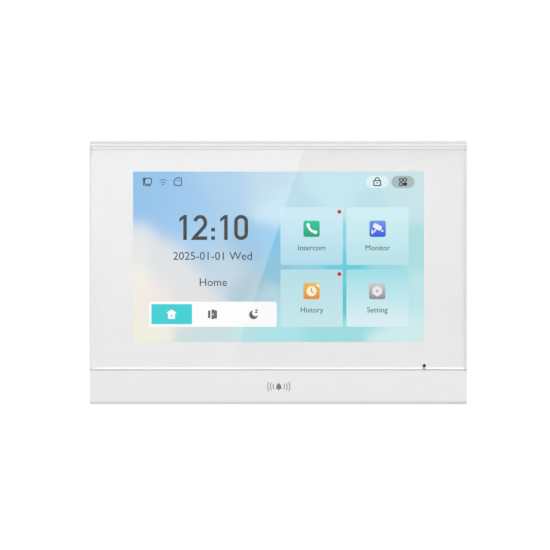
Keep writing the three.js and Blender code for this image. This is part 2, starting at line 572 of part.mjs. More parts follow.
piece("cover_glass", coverGlass(), clearGlass);
piece("glass_tape", glassTape(), paleFilm);
piece("front_frame", frontFrame(), white);
piece("rear_cover", rearCover(), white);
CASE_SCREWS.forEach((at, i) => piece(`case_screw_${i + 1}`, screw(at, -9.9, 2.4, 1.6, 1.4, 6), zinc));
piece("rating_label", slab(roundedRectangle([-90, -68], [-18, 20], 1.5), [REAR_Y + 0.02, REAR_Y + 0.2]), label);
piece("wall_plate", wallPlate(), zinc);
piece("antenna_strip", box([30, 74], [REAR_Y - WALL - 0.9, REAR_Y - WALL - FIT], [-61, -56.5]), amber);
buildDisplay();
buildRibbons();
buildBoard();
buildTerminals();
buildSound();

export default monitor;
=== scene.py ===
import math

import bpy
import numpy as np
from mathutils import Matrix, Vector
from mathutils.geometry import tessellate_polygon


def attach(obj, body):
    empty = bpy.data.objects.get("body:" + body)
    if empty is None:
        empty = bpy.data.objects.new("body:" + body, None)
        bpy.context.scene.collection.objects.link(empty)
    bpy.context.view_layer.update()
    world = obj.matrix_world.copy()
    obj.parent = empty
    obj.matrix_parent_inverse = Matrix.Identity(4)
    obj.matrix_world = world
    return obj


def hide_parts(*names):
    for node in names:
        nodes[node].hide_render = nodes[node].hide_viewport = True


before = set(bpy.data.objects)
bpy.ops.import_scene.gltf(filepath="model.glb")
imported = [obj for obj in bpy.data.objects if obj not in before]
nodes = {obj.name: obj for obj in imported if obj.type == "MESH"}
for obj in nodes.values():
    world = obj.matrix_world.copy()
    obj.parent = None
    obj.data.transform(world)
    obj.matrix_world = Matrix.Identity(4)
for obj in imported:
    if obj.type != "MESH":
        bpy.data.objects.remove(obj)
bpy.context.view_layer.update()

mm = 0.001
print("frame loaded:", len(nodes), "nodes")

# Outlines are N x 2 arrays of (x, z) in millimetres, counter-clockwise seen from the front.


def circle(cx, cz, r, count=40):
    a = np.arange(count) / count * 2 * np.pi
    return np.column_stack([cx + r * np.cos(a), cz + r * np.sin(a)])


def arc(cx, cz, rx, fromDeg, toDeg, count=14, rz=None):
    a = np.radians(np.linspace(fromDeg, toDeg, count))
    return np.column_stack([cx + rx * np.cos(a), cz + (rz or rx) * np.sin(a)])


def roundRect(x0, x1, z0, z1, r, count=8):
    # four quarter circles of radius r, joined by the straight sides between them
    corners = [(x1 - r, z0 + r, -90), (x1 - r, z1 - r, 0), (x0 + r, z1 - r, 90), (x0 + r, z0 + r, 180)]
    return np.vstack([arc(cx, cz, r, a, a + 90, count) for cx, cz, a in corners])


def centred(cx, cz, w, h, r=0.01):
    return roundRect(cx - w / 2, cx + w / 2, cz - h / 2, cz + h / 2, r)


def offsetLine(points, distance, closed):
    # each point moves along the mean of its two side normals, lengthened so that the sides stay parallel
    p = np.asarray(points, float)
    ahead = np.roll(p, -1, 0) - p
    back = p - np.roll(p, 1, 0)
    if not closed:
        ahead[-1] = back[-1]
        back[0] = ahead[0]
    ahead /= np.linalg.norm(ahead, axis=1)[:, None]
    back /= np.linalg.norm(back, axis=1)[:, None]
    normal = np.column_stack([ahead[:, 1] + back[:, 1], -ahead[:, 0] - back[:, 0]])
    normal /= np.linalg.norm(normal, axis=1)[:, None]
    lean = np.clip(normal[:, 0] * ahead[:, 1] - normal[:, 1] * ahead[:, 0], 0.4, 1)
    return p + normal * (distance / lean)[:, None]


def stroke(points, width, closed=False, roundEnds=True):
    # a line of even width: a ring of two loops when closed, otherwise one outline with half-round ends
    right, left = offsetLine(points, width / 2, closed), offsetLine(points, -width / 2, closed)
    if closed:
        return [right, left]
    if not roundEnds:
        return [np.vstack([right, left[::-1]])]
    first, last = np.asarray(points[0], float), np.asarray(points[-1], float)
    heading = math.degrees(math.atan2(*(last - np.asarray(points[-2], float))[::-1]))
    tail = math.degrees(math.atan2(*(np.asarray(points[1], float) - first)[::-1]))
    endCap = arc(*last, width / 2, heading - 90, heading + 90, 9)[1:-1]
    startCap = arc(*first, width / 2, tail + 90, tail + 270, 9)[1:-1]
    return [np.vstack([right, endCap, left[::-1], startCap])]


def signedArea(loop):
    return 0.5 * float(np.sum(loop[:, 0] * np.roll(loop[:, 1], -1) - np.roll(loop[:, 0], -1) * loop[:, 1]))


def filled(loops):
    # triangles over the flat region inside loops[0] and outside the rest, all turned counter-clockwise
    flat = np.vstack(loops)
    triangles = np.array(tessellate_polygon([[(u, v, 0) for u, v in q] for q in loops]))
    a, b, c = (flat[triangles[:, k]] for k in range(3))
    turned = (b[:, 0] - a[:, 0]) * (c[:, 1] - a[:, 1]) - (b[:, 1] - a[:, 1]) * (c[:, 0] - a[:, 0]) < 0
    triangles[turned] = triangles[turned][:, ::-1]
    return triangles


def thinSolid(loops, front, back):
    # the flat region inside loops[0] and outside the rest, given thickness from y = front to y = back
    loops = [np.asarray(q, float) for q in loops]
    loops = [q if (signedArea(q) > 0) == (i == 0) else q[::-1] for i, q in enumerate(loops)]
    flat = np.vstack(loops)
    n = len(flat)
    points = np.vstack([
        np.column_stack([flat[:, 0], np.full(n, front), flat[:, 1]]),
        np.column_stack([flat[:, 0], np.full(n, back), flat[:, 1]]),
    ])
    triangles = filled(loops)
    faces = triangles.tolist() + (triangles[:, ::-1] + n).tolist()
    start = 0
    for q in loops:
        i = np.arange(start, start + len(q))
        j = np.roll(i, -1)
        faces += np.column_stack([i, i + n, j + n, j]).tolist()
        start += len(q)
    return points, faces


def barAlongX(profile, x0, x1):
    # a closed (y, z) profile carried straight from x0 to x1
    n = len(profile)
    points = np.array([(x, y, z) for x in (x0, x1) for y, z in profile])
    caps = filled([np.array(profile, float)])
    i = np.arange(n)
    j = np.roll(i, -1)
    sides = np.column_stack([i, j, j + n, i + n])
    ahead = signedArea(np.array(profile, float)) > 0
    return points, caps[:, ::-1].tolist() + (caps + n).tolist() + (sides if ahead else sides[:, ::-1]).tolist()


def together(solids):
    points, faces, start = [], [], 0
    for p, f in solids:
        points.append(p)
        faces += [[v + start for v in face] for face in f]
        start += len(p)
    return np.vstack(points), faces


def makePiece(name, solid, material, body="monitor", replaces=(), smooth=None):
    points, faces = solid
    mesh = bpy.data.meshes.new(name)
    mesh.from_pydata((np.asarray(points) * mm).tolist(), [], faces)
    mesh.validate()
    if smooth:
        mesh.polygons.foreach_set("use_smooth", [True] * len(mesh.polygons))
        mesh.set_sharp_from_angle(angle=math.radians(smooth))
    mesh.materials.append(material)
    piece = bpy.data.objects.new(name, mesh)
    bpy.context.scene.collection.objects.link(piece)
    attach(piece, body)
    if replaces:
        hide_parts(*replaces)
    return piece


def drawing(name, shapes, front, material, body="monitor", thick=0.012):
    # several flat shapes at one depth, as one piece
    return makePiece(name, together([thinSolid(s, front, front + thick) for s in shapes]), material, body)


def linear(code):
    # a written sRGB colour as linear light
    v = np.array([int(code[i:i + 2], 16) for i in (0, 2, 4)]) / 255
    return np.where(v <= 0.04045, v / 12.92, ((v + 0.055) / 1.055) ** 2.4)


def rgba(colour):
    return (*[float(c) for c in (linear(colour) if isinstance(colour, str) else colour)], 1.0)


def newMaterial(name, base, roughness, metallic=0.0, **sockets):
    material = bpy.data.materials.new(name)
    material.use_nodes = True
    shader = material.node_tree.nodes["Principled BSDF"]
    shader.inputs["Base Color"].default_value = rgba(base)
    shader.inputs["Roughness"].default_value = roughness
    shader.inputs["Metallic"].default_value = metallic
    for socket, value in sockets.items():
        shader.inputs[socket.replace("_", " ")].default_value = value
    return material, material.node_tree, shader


def objectPoint(tree, scale=(1, 1, 1)):
    place = tree.nodes.new("ShaderNodeTexCoord")
    mapping = tree.nodes.new("ShaderNodeMapping")
    mapping.inputs["Scale"].default_value = scale
    tree.links.new(place.outputs["Object"], mapping.inputs["Vector"])
    return mapping.outputs["Vector"]


def noise(tree, vector, scale, detail=2.0):
    node = tree.nodes.new("ShaderNodeTexNoise")
    node.inputs["Scale"].default_value = scale
    node.inputs["Detail"].default_value = detail
    tree.links.new(vector, node.inputs["Vector"])
    return node.outputs["Fac"]


def spread(tree, value, low, high, toLow, toHigh):
    node = tree.nodes.new("ShaderNodeMapRange")
    for socket, number in zip(("From Min", "From Max", "To Min", "To Max"), (low, high, toLow, toHigh)):
        node.inputs[socket].default_value = number
    tree.links.new(value, node.inputs["Value"])
    return node.outputs["Result"]


def blendColours(tree, fac, colourA, colourB):
    node = tree.nodes.new("ShaderNodeMix")
    node.data_type = "RGBA"
    tree.links.new(fac, node.inputs["Factor"])
    for socket, colour in (("A", colourA), ("B", colourB)):
        target = [i for i in node.inputs if i.name == socket and i.type == "RGBA"][0]
        if hasattr(colour, "is_linked"):
            tree.links.new(colour, target)
        else:
            target.default_value = rgba(colour)
    return [o for o in node.outputs if o.type == "RGBA"][0]


def bump(tree, shader, height, strength, distance):
    node = tree.nodes.new("ShaderNodeBump")
    node.inputs["Strength"].default_value = strength
    node.inputs["Distance"].default_value = distance
    tree.links.new(height, node.inputs["Height"])
    tree.links.new(node.outputs["Normal"], shader.inputs["Normal"])


def grained(name, base, other, roughness, grain, depth, metallic=0.0, stretch=(1, 1, 1), **sockets):
    # two close tones mottled together, with a fine raised grain and a little change of gloss
    material, tree, shader = newMaterial(name, base, roughness, metallic, **sockets)
    point = objectPoint(tree, stretch)
    mottle = noise(tree, point, grain * 0.06, 3.0)
    fine = noise(tree, point, grain, 2.0)
    tree.links.new(blendColours(tree, mottle, base, other), shader.inputs["Base Color"])
    gloss = spread(tree, fine, 0.3, 0.7, roughness * 0.9, min(1, roughness * 1.12))
    tree.links.new(gloss, shader.inputs["Roughness"])
    bump(tree, shader, fine, 0.35, depth)
    return material


print("materials")
frontWhite = grained("frontWhite", "f0f0f0", "ededed", 0.3, 5200, 0.000012, Coat_Weight=0.15, Coat_Roughness=0.12)
edgeFrost = grained("edgeFrost", "f2f4f3", "eef0ef", 0.55, 2600, 0.00001,
                    Emission_Color=(1, 1, 1, 1), Emission_Strength=0.16)  # a painted glow, standing in for the light that the pane carries to its edge
# grey for the films behind the pane's sides, a painted highlight there, and for the strip in the lip's groove,
# painted shade there
highlightAndShadeGrey = grained("highlightAndShadeGrey", "e4e4e4", "e1e1e1", 0.45, 2600, 0.000008)
# grey for the strip in the gap above the chin: painted shade in the gap
gapShadeGrey = grained("gapShadeGrey", "b8b8b8", "b4b4b4", 0.6, 2600, 0.000008)
backWhite = grained("backWhite", "ececea", "e7e7e5", 0.5, 3400, 0.00004)
inkWhite = grained("inkWhite", "dcdcdc", "dbdbdb", 0.6, 2600, 0.000004)
plateSteel = grained("plateSteel", "b6babd", "a6abaf", 0.38, 1500, 0.000008, 0.9, (1, 1, 0.08))
brightSteel = grained("brightSteel", "c6c8ca", "b2b5b8", 0.3, 2400, 0.000006, 0.95)
screwZinc = grained("screwZinc", "c9ccd0", "aeb3b9", 0.28, 3000, 0.000006, 1.0)
maskGreen = grained("maskGreen", "12492f", "0e3f28", 0.35, 1800, 0.00001)
plugGreen = grained("plugGreen", "2f9554", "288649", 0.42, 2600, 0.00003)
blackPlastic = grained("blackPlastic", "1b1b1d", "232326", 0.48, 3000, 0.00003)
creamPlastic = grained("creamPlastic", "e6dfcb", "ddd5be", 0.45, 2600, 0.00002)
clampBrass = grained("clampBrass", "c7a862", "b4924b", 0.32, 2400, 0.000008, 1.0)
amberFlex = grained("amberFlex", "a8672a", "8f5420", 0.3, 900, 0.000004)
whiteFilm = grained("whiteFilm", "eef1f3", "e6eaee", 0.35, 900, 0.000004)
labelFilm = grained("labelFilm", "d3d5d6", "cbcecf", 0.34, 2000, 0.000004, 0.35)
canAluminium = grained("canAluminium", "c9cbcd", "b9bcbf", 0.3, 1600, 0.000008, 0.95)
softRubber = grained("softRubber", "1a1a1a", "242424", 0.75, 2400, 0.00004)
wireBlack = grained("wireBlack", "111112", "1a1a1c", 0.5, 2400, 0.00002)
foamTape = grained("foamTape", "e4e4e4", "dcdcdc", 0.8, 3200, 0.00004)
# black for the mic hole's gauze and sleeve: painted shade inside the hole
holeShadeBlack = grained("holeShadeBlack", "161616", "202020", 0.85, 3200, 0.00006)
markGrey = grained("markGrey", "7c7e80", "747678", 0.5, 2600, 0.000006)
labelInk = grained("labelInk", "54575a", "5c5f62", 0.5, 2600, 0.000004)


paneGlass = newMaterial("clearGlass", (0.99, 0.992, 0.991), 0.0, Transmission_Weight=1.0, IOR=1.5)[0]

glass = {
    "halfWidth": 99.2, "top": 66.35, "bottom": -51.0, "corner": 1.0, "front": -22.0, "back": -20.2,
    "profile": [(0.0, 0.62), (0.02, 0.5), (0.1, 0.4), (0.42, 0.08), (0.52, 0.0), (1.68, 0.0), (1.8, 0.1)],
}
mic = {  # the hole through the pane, the gauze behind it and the sleeve that lines it, both black to paint the shade inside the hole
    "x": 77.0, "z": -49.1, "r": 0.8, "rimWidth": 0.1, "borderGap": 0.05, "gauzeInset": 0.02,
    "gauzeDepths": (-0.12, -0.02), "sleeveInsets": (0.006, 0.03), "sleeveDepths": (-21.88, -20.22),
}


def micCircle(extra):
    return circle(mic["x"], mic["z"], mic["r"] + extra, 32)


def edgeLoop(inset):
    g = glass
    r = max(g["corner"] - inset, 0.3)
    return roundRect(-g["halfWidth"] + inset, g["halfWidth"] - inset, g["bottom"] + inset, g["top"] - inset, r)


def coverGlass():
    # the outline carried through the profile's (depth, inset) steps and closed by two flat faces with the mic hole
    g = glass
    rings = [edgeLoop(inset) for _, inset in g["profile"]]
    depths = [g["front"] + depth for depth, _ in g["profile"]]
    holes = [micCircle(extra) for extra in (mic["rimWidth"], 0.0, 0.0)]
    holeDepths = [g["front"], g["front"] + mic["rimWidth"], g["back"]]
    n, h = len(rings[0]), len(holes[0])
    points = np.vstack(
        [np.column_stack([q[:, 0], np.full(n, y), q[:, 1]]) for q, y in zip(rings, depths)]
        + [np.column_stack([q[:, 0], np.full(h, y), q[:, 1]]) for q, y in zip(holes, holeDepths)])
    faces = []
    i = np.arange(n)
    j = np.roll(i, -1)
    for k in range(len(rings) - 1):
        faces += np.column_stack([i + k * n, i + (k + 1) * n, j + (k + 1) * n, j + k * n]).tolist()
    start = len(rings) * n
    i = np.arange(h)
    j = np.roll(i, -1)
    for k in range(len(holes) - 1):
        faces += (np.column_stack([j + k * h, j + (k + 1) * h, i + (k + 1) * h, i + k * h]) + start).tolist()
    for ring, hole, ringStart, holeStart, forwards in (
            (rings[0], holes[0], 0, start, True),
            (rings[-1], holes[-1], (len(rings) - 1) * n, start + (len(holes) - 1) * h, False)):
        index = np.concatenate([np.arange(n) + ringStart, np.arange(h) + holeStart])
        triangles = filled([ring, hole])
        faces += index[triangles if forwards else triangles[:, ::-1]].tolist()
    return points, faces


pane = makePiece("coverPane", coverGlass(), paneGlass, replaces=["cover_glass"], smooth=5)
pane.visible_shadow = False

picture = {"left": -76.8, "right": 76.8, "bottom": -36.7, "top": 53.3, "front": -19.9, "back": -18.45}
border = {"side": 1.1, "foot": 0.9, "head": 0.3, "behind": 0.01, "thick": 0.06}
inkRing = thinSolid(
    [roundRect(-glass["halfWidth"] + border["side"], glass["halfWidth"] - border["side"],
               glass["bottom"] + border["foot"], glass["top"] - border["head"], 0.5),
     roundRect(picture["left"], picture["right"], picture["bottom"], picture["top"], 0.2, 3),
     micCircle(mic["borderGap"])],
    glass["back"] + border["behind"], glass["back"] + border["behind"] + border["thick"])
makePiece("printedBorder", inkRing, inkWhite)
# a black gauze disc behind the mic hole, dark to paint the shade inside the hole
gauzeFront, gauzeBack = (glass["back"] + depth for depth in mic["gauzeDepths"])
makePiece("micShadeGauze", thinSolid([micCircle(-mic["gauzeInset"])], gauzeFront, gauzeBack), holeShadeBlack)
print("cover glass")

# Lighter films behind the pane's sides and foot, painted highlights for the bright lines along its edges; a bead and
# a lapping seal under the top lip; a grey strip in the gap above the chin, painted shade in that gap; and a grey
# strip in the lip's groove, painted shade in the groove.
trims = {
    "edgeHighlightFilm": {"x": 98.55, "z": 8, "width": 0.8, "height": 115.6},
    "footHighlightFilm": {"halfWidth": 98.1, "bottom": -50.93, "top": -50.1},
    "topBead": {"halfWidth": 98.9, "profile": [(-19.85, 66.4), (-21.85, 66.4), (-21.9, 66.45), (-21.9, 66.67),
                                               (-19.85, 66.67)]},
    "topSeal": {"halfWidth": 99.1, "bottom": 65.2, "top": 66.35, "front": -22.03, "back": -22.005},
    "gapShadeStrip": {"z": -51.36, "width": 198.4, "height": 0.7, "front": -19.9, "thick": 0.09},
    "grooveShadeStrip": {"z": 68.41, "width": 198.8, "height": 1.16, "front": -19.66, "back": -19.605},
}


def placeTrims():
    behindGlass = glass["back"] + border["behind"]
    # films behind the pane's sides, lighter than the printed border: a painted highlight for the bright band along
    # the pane's edge
    t = trims["edgeHighlightFilm"]
    drawing("edgeHighlightFilm", [[centred(side * t["x"], t["z"], t["width"], t["height"])] for side in (-1, 1)],
            behindGlass, highlightAndShadeGrey, thick=border["thick"])
    t = trims["topBead"]
    makePiece("topBead", barAlongX(t["profile"], -t["halfWidth"], t["halfWidth"]), frontWhite)
    t = trims["topSeal"]
    lap = [roundRect(-t["halfWidth"], t["halfWidth"], t["bottom"], t["top"], 0.1, 3)]
    topSeal = makePiece("topSeal", thinSolid(lap, t["front"], t["back"]), frontWhite)
    topSeal.visible_shadow = False
    # a white film behind the pane's foot, lighter than the printed border: a painted highlight for the bright line
    # along the pane's lower edge
    t = trims["footHighlightFilm"]
    foot = [roundRect(-t["halfWidth"], t["halfWidth"], t["bottom"], t["top"], 0.1)]
    drawing("footHighlightFilm", [foot], behindGlass, frontWhite, thick=border["thick"])
    # a grey strip in the gap above the chin: painted shade in the gap
    t = trims["gapShadeStrip"]
    gap = [centred(0, t["z"], t["width"], t["height"], 0.05)]
    drawing("gapShadeStrip", [gap], t["front"], gapShadeGrey, thick=t["thick"])


placeTrims()


frosting = {
    "profile": [(0.396, -21.904), (0.076, -21.584), (-0.006, -21.484), (-0.006, -20.32),
                (-0.03, -20.32), (-0.03, -21.494), (0.06, -21.602), (0.382, -21.922)],
    "lowerTurn": range(-75, 1, 15), "upperTurn": range(0, 91, 10),
}


def edgeFrosting(side):
    # a thin skin over the pane's chamfer and ground edge: a closed (inset, y) profile carried up one side and
    # round both of its corners, then turned outward if its volume comes out negative
    g = glass
    r = g["corner"]
    profile = frosting["profile"]
    turns = [(a, g["bottom"] + r) for a in frosting["lowerTurn"]]
    turns += [(a, g["top"] - r) for a in frosting["upperTurn"]]
    rows = [[(side * (g["halfWidth"] - r + (r - inset) * math.cos(math.radians(a))), y,
              z + (r - inset) * math.sin(math.radians(a))) for inset, y in profile] for a, z in turns]
    n = len(profile)
    points = np.array(rows).reshape(-1, 3)
    faces = [[k * n + i, k * n + (i + 1) % n, (k + 1) * n + (i + 1) % n, (k + 1) * n + i]
             for k in range(len(rows) - 1) for i in range(n)]
    faces += [list(range(n))[::-1], list(range(len(points) - n, len(points)))]
    volume = sum(float(np.dot(points[f[0]], np.cross(points[f[k]], points[f[k + 1]])))
                 for f in faces for k in range(1, len(f) - 1))
    return points, faces if volume > 0 else [f[::-1] for f in faces]


# the skin's material glows: painted light along the pane's edges
makePiece("groundEdge", together([edgeFrosting(1), edgeFrosting(-1)]), edgeFrost)
# a black sleeve lining the mic hole through the pane: painted shade inside the hole
makePiece("micHoleShadeSleeve", thinSolid([micCircle(-inset) for inset in mic["sleeveInsets"]], *mic["sleeveDepths"]),
          holeShadeBlack)
# a grey strip on the floor of the lip's groove: painted shade in the groove
groove = trims["grooveShadeStrip"]
grooveShadeBand = [centred(0, groove["z"], groove["width"], groove["height"])]
makePiece("grooveShadeStrip", thinSolid(grooveShadeBand, groove["front"], groove["back"]), highlightAndShadeGrey)

veil = 0.08  # what the glass adds by reflection
passed = 0.92  # what the glass lets through


def unveiled(tone):
    # the glow that reads as this linear tone behind the glass
    return np.clip((tone - veil) / passed, 0, None)


def lit(colour):
    return unveiled(linear(colour))


def emitter(name):
    return newMaterial(name, (0.01, 0.01, 0.01), 0.4, Specular_IOR_Level=0.0, Emission_Strength=1.0)


def glowing(name, colour, other=None, low=0.0, high=1.0):
    # an evenly lit tone, or one that runs upward into another between two heights in millimetres
    material, tree, shader = emitter(name)
    shader.inputs["Emission Color"].default_value = rgba(lit(colour))
    if other:
        split = tree.nodes.new("ShaderNodeSeparateXYZ")
        tree.links.new(objectPoint(tree), split.inputs["Vector"])
        along = spread(tree, split.outputs["Z"], low * mm, high * mm, 0, 1)
        mixed = blendColours(tree, along, lit(colour), lit(other))
        tree.links.new(mixed, shader.inputs["Emission Color"])
    return material


# Soft patches of colour: x, z and reach in millimetres, then the tone.
wallpaper = {
    "grid": (161, 97), "margin": 1, "tightness": 0.62,
    "patches": [
        (-72, 44, 24, "8fc0ea"), (-52, 34, 22, "94c4ec"), (-40, 18, 16, "a4cdee"), (-28, 48, 18, "a4cdec"),
        (-6, 50, 18, "b9d8ea"), (2, 34, 14, "c4e6f6"), (28, 48, 22, "cdedf5"), (72, 46, 20, "d0eaef"),
        (-74, 16, 13, "e8e8e8"), (-58, 4, 16, "e0e3e6"), (-76, -6, 14, "f3efe6"), (-64, -14, 12, "f2e7e3"),
        (-74, -30, 15, "f2f0df"), (-46, -14, 15, "e2e2e2"), (-34, -34, 16, "c8dedd"), (-28, 2, 15, "bfd4e2"),
        (-18, 14, 13, "90c0e2"), (-16, -8, 11, "a6c4d4"), (-4, 18, 10, "8ccbee"), (-2, 4, 10, "9acce4"),
        (-8, -14, 10, "bcdce6"), (2, -30, 14, "b4e8ef"), (-14, -34, 12, "bce8ea"), (26, -33, 14, "a8e2e5"),
        (35, 2.8, 11, "78d2e4"), (35, 20, 9, "96dcec"), (35, -16, 9, "6fcbd6"), (16, 14, 14, "9ad6ea"),
        (16, -14, 14, "a0d6dc"), (54, 16, 14, "a5dde2"), (56, -14, 14, "a6dfe6"), (73, 14, 12, "b6e3e6"),
        (75, -12, 12, "c4ebee"), (70, -34, 16, "d4f1f1"), (48, 34, 12, "c2e8ee"), (14, 33, 12, "bfe2ef"),
    ],
}
# Left of a slanted edge the picture is blended toward white, fading to the left: a painted sheen. The reflected card
# further down is lined up on the same edge.
sheen = {"topX": 10.3, "topZ": 53.3, "slope": 0.339, "soft": 0.3, "fade": 110.0, "amount": 0.13}


def wallpaperColours(x, z):
    # every patch pulls the colour towards its own by a bell curve of its distance
    total = np.zeros((len(x), 3))
    weight = np.zeros(len(x))
    for px, pz, reach, tone in wallpaper["patches"]:
        pull = np.exp(-(((x - px) ** 2 + (z - pz) ** 2) / (wallpaper["tightness"] * reach) ** 2)) + 1e-9
        total += pull[:, None] * linear(tone)
        weight += pull
    return total / weight[:, None]


def lightPicture():
    # a flat box whose front is a fine grid; the tones lie on the grid's points
    p = picture
    (nx, nz), margin = wallpaper["grid"], wallpaper["margin"]
    gx, gz = np.meshgrid(np.linspace(p["left"] - margin, p["right"] + margin, nx),
                         np.linspace(p["bottom"] - margin, p["top"] + margin, nz))
    frontFace = np.column_stack([gx.ravel(), np.full(nx * nz, p["front"]), gz.ravel()])
    i = (np.arange(nz - 1)[:, None] * nx + np.arange(nx - 1)).ravel()
    faces = np.column_stack([i, i + 1, i + nx + 1, i + nx]).tolist()
    bottom, top = np.arange(nx), np.arange(nx) + (nz - 1) * nx
    left, right = np.arange(nz) * nx, np.arange(nz) * nx + nx - 1
    rim = np.concatenate([bottom, right[1:], top[::-1][1:], left[::-1][1:-1]])
    backRim = frontFace[rim].copy()
    backRim[:, 1] = p["back"]
    start = len(frontFace)
    i = np.arange(len(rim))
    j = np.roll(i, -1)
    faces += np.column_stack([rim[i], start + i, start + j, rim[j]]).tolist()
    faces.append((start + i[::-1]).tolist())
    return np.vstack([frontFace, backRim]), faces


def pictureMaterial():
    material, tree, shader = emitter("litPicture")
    tone = tree.nodes.new("ShaderNodeAttribute")
    tone.attribute_name = "tone"
    split = tree.nodes.new("ShaderNodeSeparateXYZ")
    tree.links.new(objectPoint(tree), split.inputs["Vector"])
    edge = tree.nodes.new("ShaderNodeMath")  # distance right of the slanted edge
    edge.operation = "MULTIPLY_ADD"
    edge.inputs[1].default_value = -sheen["slope"]
    tree.links.new(split.outputs["Z"], edge.inputs[0])
    tree.links.new(split.outputs["X"], edge.inputs[2])
    offset = (sheen["topX"] - sheen["slope"] * sheen["topZ"]) * mm
    # step and fade give how strongly each point is blended toward white: the painted sheen
    step = spread(tree, edge.outputs[0], offset - sheen["soft"] * mm, offset + sheen["soft"] * mm, 1, 0)
    fade = spread(tree, edge.outputs[0], offset - sheen["fade"] * mm, offset, 0, sheen["amount"])
    amount = tree.nodes.new("ShaderNodeMath")
    amount.operation = "MULTIPLY"
    tree.links.new(step, amount.inputs[0])
    tree.links.new(fade, amount.inputs[1])
    withPaintedSheen = blendColours(tree, amount.outputs[0], tone.outputs["Color"], (1, 1, 1))
    tree.links.new(withPaintedSheen, shader.inputs["Emission Color"])
    return material


screenPanel = makePiece("screenPanel", lightPicture(), pictureMaterial(), replaces=["lcd_cell", "touch_film"])
where = np.zeros(len(screenPanel.data.vertices) * 3, np.float32)
screenPanel.data.vertices.foreach_get("co", where)
where = where.reshape(-1, 3) / mm
tones = unveiled(wallpaperColours(where[:, 0], where[:, 2]))
layer = screenPanel.data.color_attributes.new("tone", "FLOAT_COLOR", "POINT")
layer.data.foreach_set("color", np.column_stack([tones, np.ones(len(tones))]).astype(np.float32).ravel())
print("lit picture")

deep = {"tile": -19.93, "icon": -19.96, "glyph": -19.99, "top": -20.02}
dark = glowing("darkGlow", "47494a")
slate = glowing("slateGlow", "3f5058")
wordGlow = glowing("wordGlow", "1c2a30")
whiteGlow = glowing("whiteGlow", "ffffff")
greyGlow = glowing("greyGlow", "757575")

clock = {"top": 30.4, "bottom": 17.2, "stroke": 1.85}


def clockDigits():
    top, bottom, w = clock["top"], clock["bottom"], clock["stroke"]
    h = w / 2
    shapes = []
    for right in (-48.4, -26.8):  # each one: an upright stem with a short slanted flag
        x = right - w
        shapes.append([np.array([
            (x, bottom), (right, bottom), (right, top), (x + 0.35, top), (x - 2.1, top - 1.75),
            (x - 2.1, top - 3.7), (x, top - 2.2)])])
    two = np.vstack([
        arc(-41.3, top - 3.9, 3.65 - h, 168, 0, 14, 3.9 - h),
        [(-38.65, top - 5.1), (-39.6, top - 6.7), (-44.0, bottom + 1.75), (-44.55, bottom + 0.93)],
        [(-37.6, bottom + 0.93)],
    ])
    shapes.append(stroke(two, w, roundEnds=False))
    shapes.append(stroke(centred(-19.7, (top + bottom) / 2, 7.3 - w, top - bottom - w, 2.6), w, closed=True))
    for z in (22.6, 18.2):
        shapes.append([centred(-34.5, z, 1.95, 1.95)])
    return shapes


drawing("clockDigits", clockDigits(), deep["icon"], dark)


typeface = {"capital": 0.71, "raised": 0.006, "steps": 3}


def lettering(name, words, x, z, height, depth, material, facing=-1):
    # plain words set in the built-in face; facing is -1 towards the front and 1 towards the wall; z is the line
    # that they stand on
    curve = bpy.data.curves.new(name, "FONT")
    curve.body = words
    curve.align_x = "CENTER"
    curve.size = height / typeface["capital"]
    curve.extrude = typeface["raised"]
    curve.resolution_u = typeface["steps"]
    source = bpy.data.objects.new(name + "Text", curve)
    bpy.context.scene.collection.objects.link(source)
    bpy.context.view_layer.update()
    mesh = bpy.data.meshes.new_from_object(source.evaluated_get(bpy.context.evaluated_depsgraph_get()))
    bpy.data.objects.remove(source)
    flat = np.zeros(len(mesh.vertices) * 3, np.float32)
    mesh.vertices.foreach_get("co", flat)
    flat = flat.reshape(-1, 3)
    placed = np.column_stack([x - facing * flat[:, 0], depth + facing * flat[:, 2], flat[:, 1] + z]) * mm
    mesh.vertices.foreach_set("co", placed.astype(np.float32).ravel())
    mesh.materials.clear()
    mesh.materials.append(material)
    mesh.name = name
    piece = bpy.data.objects.new(name, mesh)
    bpy.context.scene.collection.objects.link(piece)
    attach(piece, "monitor")
    return piece


lettering("dateLine", "2025-01-01 Wed", -34.7, 6.7, 4.3, deep["icon"], wordGlow)
lettering("modeWord", "Home", -34.5, -7.1, 4.2, deep["icon"], wordGlow)

# the tab bar
tabGlow = glowing("tabGlow", "3fd3d9")
drawing("tabBar", [[roundRect(-68.2, -0.9, -28.7, -15.4, 1.2)]], deep["tile"], whiteGlow)
drawing("chosenTab", [[roundRect(-67.1, -45.6, -27.3, -16.7, 0.15, 3)]], deep["icon"], tabGlow)
drawing("houseIcon", [
    [np.array([(-56.45, -19.55), (-59.05, -21.15), (-58.75, -21.6), (-58.3, -21.35), (-58.3, -24.5), (-54.6, -24.5),
               (-54.6, -21.35), (-54.15, -21.6), (-53.85, -21.15)]), circle(-56.45, -22.8, 0.8, 3)],
], deep["glyph"], whiteGlow)
drawing("doorIcon", [
    [np.array([(-37.2, -20.1), (-35.9, -20.1), (-35.9, -24.1), (-37.2, -24.1)])],
    [np.array([(-35.3, -19.4), (-32.4, -20.1), (-32.4, -24.1), (-35.3, -24.8)]),
     circle(-34.5, -22.1, 0.35, 14)],
], deep["glyph"], greyGlow)


def crescent(cx, cz, r):
    # a disc less a smaller one whose middle lies up and to the right of its own
    outer = arc(cx, cz, r, 96, 354, 30)
    inner = arc(cx + 0.44 * r, cz + 0.44 * r, r * 0.78, 315, 135, 24)
    return np.vstack([outer, inner])


drawing("moonIcon", [
    [crescent(-13.1, -22.3, 2.35)],
    stroke([(-12.3, -19.75), (-11.0, -19.75), (-12.3, -21.15), (-11.0, -21.15)], 0.42),
], deep["glyph"], greyGlow)

